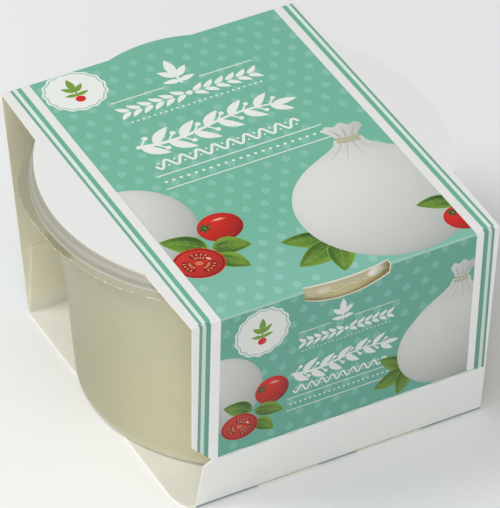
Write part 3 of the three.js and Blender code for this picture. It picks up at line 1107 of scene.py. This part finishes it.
class Nodes:
    """A short way to write a node tree. An input takes a socket or a constant."""

    def __init__(self, name):
        self.material = bpy.data.materials.new(name)
        self.material.use_nodes = True
        self.tree = self.material.node_tree
        self.tree.nodes.clear()
        self.shader = self.add("ShaderNodeBsdfPrincipled")
        self.add("ShaderNodeOutputMaterial", {"Surface": self.shader.outputs[0]})
        self.place = self.add("ShaderNodeTexCoord").outputs["Object"]

    def feed(self, node, inputs):
        for key, value in inputs.items():
            if isinstance(value, bpy.types.NodeSocket):
                self.tree.links.new(value, node.inputs[key])
            else:
                node.inputs[key].default_value = value

    def add(self, kind, inputs=None, **settings):
        node = self.tree.nodes.new(kind)
        for key, value in settings.items():
            setattr(node, key, value)
        self.feed(node, inputs or {})
        return node

    def finished(self, **inputs):
        """The material, once its shader has these inputs."""
        self.feed(self.shader, {key.replace("_", " "): value for key, value in inputs.items()})
        return self.material

    def vector(self, operation, inputs, output="Vector"):
        return self.add("ShaderNodeVectorMath", inputs, operation=operation).outputs[output]

    def product(self, first, second):
        return self.vector("MULTIPLY", {0: first, 1: second})

    def scaled(self, colour, factor):
        return self.vector("SCALE", {0: colour, "Scale": factor})

    def number(self, operation, *values):
        return self.add("ShaderNodeMath", dict(enumerate(values)), operation=operation).outputs[0]

    def noise(self, scale, detail):
        inputs = {"Vector": self.place, "Scale": scale, "Detail": detail, "Roughness": 0.55}
        return self.add("ShaderNodeTexNoise", inputs).outputs["Fac"]

    def remap(self, value, low, high, new_low=0, new_high=1):
        inputs = {"Value": value, "From Min": low, "From Max": high, "To Min": new_low, "To Max": new_high}
        return self.add("ShaderNodeMapRange", inputs).outputs["Result"]

    def varied(self, scale, detail, low, high):
        """A number that noise moves between two values."""
        return self.remap(self.noise(scale, detail), 0.3, 0.7, low, high)

    def axis(self, name):
        return self.add("ShaderNodeSeparateXYZ", {0: self.place}).outputs[name]

    def along(self, name, start, stop, high=1, low=0):
        """From low to high between two places along an axis, in millimetres."""
        return self.remap(self.axis(name), start * MM, stop * MM, low, high)

    def ramp(self, factor, stops):
        node = self.add("ShaderNodeValToRGB", {"Fac": factor})
        band = node.color_ramp
        band.elements[0].position, band.elements[-1].position = stops[0][0], stops[-1][0]
        for place, _ in stops[1:-1]:
            band.elements.new(place)
        for element, (_, colour) in zip(band.elements, stops):
            element.color = (*linear(colour), 1)
        return node.outputs["Color"]

    def blend(self, factor, first, second):
        """From one colour to another, which may be a constant, as the factor goes from 0 to 1."""
        if isinstance(second, tuple):
            second = (*linear(second), 1)
        return self.add("ShaderNodeMix", {0: factor, 6: first, 7: second}, data_type="RGBA").outputs[2]

    def patch(self, centre, radii, strength):
        """A soft oval, in millimetres: its strength inside, 0 outside. A radius of 0 is endless."""
        moved = self.vector("SUBTRACT", {0: self.place, 1: [c * MM for c in centre]})
        shrunk = self.product(moved, [1 / (r * MM) if r else 0 for r in radii])
        return self.remap(self.vector("LENGTH", {0: shrunk}, "Value"), 0.6, 1, strength, 0)

    def bump(self, scale, detail, distance, strength):
        """Relief from noise, its distance in millimetres."""
        inputs = {"Height": self.noise(scale, detail), "Distance": distance * MM, "Strength": strength}
        return self.add("ShaderNodeBump", inputs).outputs["Normal"]


def printed_board():
    """Coated white board with the print on it: a faint mottle, print grain and a soft sheen."""
    n = Nodes("printed_board")
    colour = n.add("ShaderNodeVertexColor", layer_name="ink").outputs["Color"]
    mottled = n.scaled(colour, n.varied(160, 4, 0.992, 1.006))
    return n.finished(
        Base_Color=n.scaled(mottled, n.varied(2400, 2, 0.982, 1.015)),
        Roughness=n.varied(420, 3, 0.38, 0.5),
        Specular_IOR_Level=0.35,
        Normal=n.bump(1500, 4, 0.03, 0.25),
    )


def bare_board():
    """The uncoated inside of the card: off-white fibres, a little darker high up as painted shade,
    and a little darker to the front.
    """
    n = Nodes("bare_board")
    fibres = n.ramp(n.noise(90, 5), [(0.3, (241, 240, 227)), (0.7, (248, 247, 236))])
    # painted shade: darker high up, where the top panel and the lid shade the inside
    tint = n.ramp(n.along("Z", 0, 60), [(0.02, (247, 247, 249)), (0.08, (253, 251, 241)),
                                        (0.3, (252, 249, 238)), (0.55, (241, 239, 228)),
                                        (1, (241, 239, 224))])
    front = n.ramp(n.along("Y", 20, -40), [(0, (255, 255, 255)), (1, (240, 240, 239))])
    return n.finished(
        Base_Color=n.product(n.product(fibres, tint), front),
        Roughness=n.varied(700, 3, 0.7, 0.85),
        Specular_IOR_Level=0.25,
        Normal=n.bump(1200, 4, 0.05, 0.6),
    )


def cut_edge():
    """The cut edge of the card: cream, with thin layers of pulp."""
    n = Nodes("cut_edge")
    pulp = n.ramp(n.noise(3000, 3), [(0.3, (232, 229, 212)), (0.7, (241, 239, 226))])
    relief = n.bump(5000, 2, 0.03, 0.5)
    return n.finished(Base_Color=pulp, Roughness=0.85, Specular_IOR_Level=0.2, Normal=relief)


def milky_plastic(name, heights, stops, painted_shade_colours, roughness, relief, windows=None, shade=None):
    """Milky plastic whose colour changes with height, between two heights in millimetres.

    Painted shade darkens it towards the back: these colours, from the back to the front, multiply it. In
    the rim windows it has paler colours, painted light where light shines through it, with painted
    glints. A shade is a darker patch of painted shadow.
    """
    n = Nodes(name)
    wavy = n.number("ADD", n.axis("Z"), n.varied(45, 2, -0.0002, 0.0002))
    height = n.remap(wavy, heights[0] * MM, heights[1] * MM)
    cloudy = n.scaled(n.ramp(height, stops), n.varied(60, 3, 0.98, 1.02))
    # painted shade, darker towards the back
    colour = n.product(cloudy, n.ramp(n.along("Y", 40, -32), painted_shade_colours))
    if shade:
        # a patch of painted shadow
        colour = n.blend(n.patch(*shade), colour, SHADE)
    if windows:
        # painted light in the rim windows
        lit = n.ramp(height, windows)
        # more painted light at the windows' ends
        for start, stop, gain in WINDOW_END_LIGHT:
            lit = n.scaled(lit, n.along("X", start, stop, gain, 1))
        # painted glints
        for glint in GLINTS:
            lit = n.blend(n.patch(*glint), lit, GLINT)
        near = n.remap(n.number("ABSOLUTE", n.axis("Y")), *[depth * MM for depth in WINDOW_DEPTH])
        colour = n.blend(near, colour, lit)
    return n.finished(
        Base_Color=colour,
        Roughness=n.remap(n.noise(45, 0), 0.2, 0.8, roughness - 0.05, roughness + 0.05),
        IOR=1.45,
        Specular_IOR_Level=0.28,
        Normal=n.bump(relief, 0, 0.1, 0.2),
    )


def tub_plastic():
    # colours by height: the pale foot is painted light, against the shade where it stands on the card
    stops = [(0, (255, 254, 244)), (0.02, (240, 238, 214)), (0.07, (216, 213, 180)),
             (0.35, (212, 209, 175)), (0.8, (212, 209, 180)), (1, (210, 207, 180))]
    # painted shade: darkest a little behind the middle, none at the front
    painted_shade_colours = [(0, (207, 207, 200)), (0.44, (187, 187, 174)), (0.75, (222, 222, 216)), (1, (255, 255, 255))]
    return milky_plastic("tub_plastic", (0, 57), stops, painted_shade_colours, 0.3, 60)


# the rim windows' colours by height: painted light, paler and warmer for light that shines through the
# plastic
WINDOW_LIGHT_STOPS = [(0, (226, 216, 172)), (0.2, (208, 198, 152)), (0.48, (194, 184, 140)),
                (0.56, (203, 195, 162)), (1, (196, 190, 162))]


def lid_plastic():
    # colours by height, with painted light and shade: the thin pale line is a painted highlight on the
    # bead, and the band under the ear is painted darker in its middle and paler at its top, where the ear
    # shades it
    stops = [(0, (173, 171, 150)), (0.665, (171, 169, 150)), (0.7, (212, 211, 198)),
             (0.735, (180, 179, 165)), (0.86, (161, 160, 146)), (1, (181, 180, 168))]
    # painted shade: darker towards the back
    painted_shade_colours = [(0.44, (235, 235, 230)), (1, (255, 255, 255))]
    return milky_plastic("lid_plastic", (55, 61), stops, painted_shade_colours, 0.45, 200, WINDOW_LIGHT_STOPS)


def film_plastic():
    stops = [(0, (176, 174, 148)), (1, (176, 174, 152))]
    # painted shade: darker towards the back
    painted_shade_colours = [(0.44, (220, 220, 214)), (1, (255, 255, 255))]
    return milky_plastic("film_plastic", (55, 61), stops, painted_shade_colours, 0.45, 300, WINDOW_LIGHT_STOPS, FILM_SHADE)


def film_edge_highlights():
    """The film's edge, all painted light and shade: dull painted shade at the back, bright dashes of
    painted highlight at the side and painted light in the front window.
    """
    n = Nodes("film_edge_highlights")
    side = n.along("Y", 16, 2)
    dull = n.ramp(side, [(0, (150, 147, 120)), (1, (178, 175, 147))])
    window = n.along("Y", *[-depth for depth in WINDOW_DEPTH])
    base = n.blend(window, dull, (250, 242, 204))
    # bright dashes of painted highlight at the side
    dashes = n.number("MULTIPLY", n.remap(n.noise(1100, 4), 0.51, 0.58), side)
    return n.finished(Base_Color=n.blend(dashes, base, (222, 217, 184)), Roughness=0.4)


def floor_paint():
    n = Nodes("floor_paint")
    paint = n.ramp(n.noise(3, 2), [(0.3, (247, 247, 247)), (0.7, (250, 250, 250))])
    return n.finished(Base_Color=paint, Roughness=0.8, Specular_IOR_Level=0.1)


# ---- studio ----

FLOOR_HALF = 2500
LIGHT_AIM = Vector((0, 0, 0.03))
LIGHTS = (  # name, place, size and power, in metres and watts
    ("key", (-0.25, -0.35, 1.1), 0.9, 2.6),
    ("side", (-0.7, 0.3, 0.9), 0.6, 6.7),
    ("front", (-0.45, -1.1, 0.5), 0.8, 3),
    ("right", (0.7, -0.9, 0.5), 0.7, 0.8),
)
SKY_STRENGTH = 0.33


def place_camera():
    data = bpy.data.cameras.new("camera")
    data.sensor_width = 36.0
    data.lens = FOCAL_PIXELS * data.sensor_width / PICTURE_HEIGHT
    data.clip_start, data.clip_end = 0.05, 20.0
    camera = linked("camera", data)
    turn = (CAMERA_AIM - CAMERA_AT).to_track_quat("-Z", "Y").to_matrix().to_4x4()
    roll = Matrix.Rotation(math.radians(-CAMERA_ROLL), 4, "Z")
    camera.matrix_world = Matrix.Translation(CAMERA_AT * MM) @ turn @ roll
    bpy.context.scene.camera = camera


def studio():
    corners = [(x * FLOOR_HALF, y * FLOOR_HALF, 0) for x, y in ((-1, -1), (1, -1), (1, 1), (-1, 1))]
    floor = make_object("floor", corners, [(0, 1, 2, 3)], [floor_paint()])
    world = bpy.data.worlds.new("world")
    world.use_nodes = True
    sky = world.node_tree.nodes["Background"]
    sky.inputs["Color"].default_value = (1, 1, 1, 1)
    sky.inputs["Strength"].default_value = SKY_STRENGTH
    bpy.context.scene.world = world
    for name, place, size, power in LIGHTS:
        data = bpy.data.lights.new(name, "AREA")
        data.shape, data.size, data.energy = "DISK", size, power
        light = linked(name, data)
        light.location = place
        light.rotation_euler = (LIGHT_AIM - Vector(place)).to_track_quat("-Z", "Y").to_euler()
    bpy.context.scene.view_settings.view_transform = "Standard"


# ---- the pack ----

for draw, panel in (
    (draw_back, Panel(BACK_FOLD, sign=-1)),
    (draw_top, Panel(0)),
    # the front panel's inks are drawn darker: painted shade
    (draw_front, Panel(FRONT_FOLD, shear=0.028, tone=0.83)),
):
    draw()
    print_panel(panel)

board, inside_board, edge_board = printed_board(), bare_board(), cut_edge()
sleeve = make_sleeve([board, inside_board, edge_board])
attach(sleeve, "root")
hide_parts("sleeve")
for number, span in enumerate(TAB_SPANS, 1):
    tab = make_tab(number, span, edge_board)
    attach(tab, "root")
    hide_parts("sleeve")

tub = make_tub(tub_plastic())
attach(tub, "root")
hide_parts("tub")

for piece in (make_lid(lid_plastic()), make_film(film_plastic(), film_edge_highlights())):
    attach(piece, "root")
    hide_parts("lid")

place_camera()
studio()
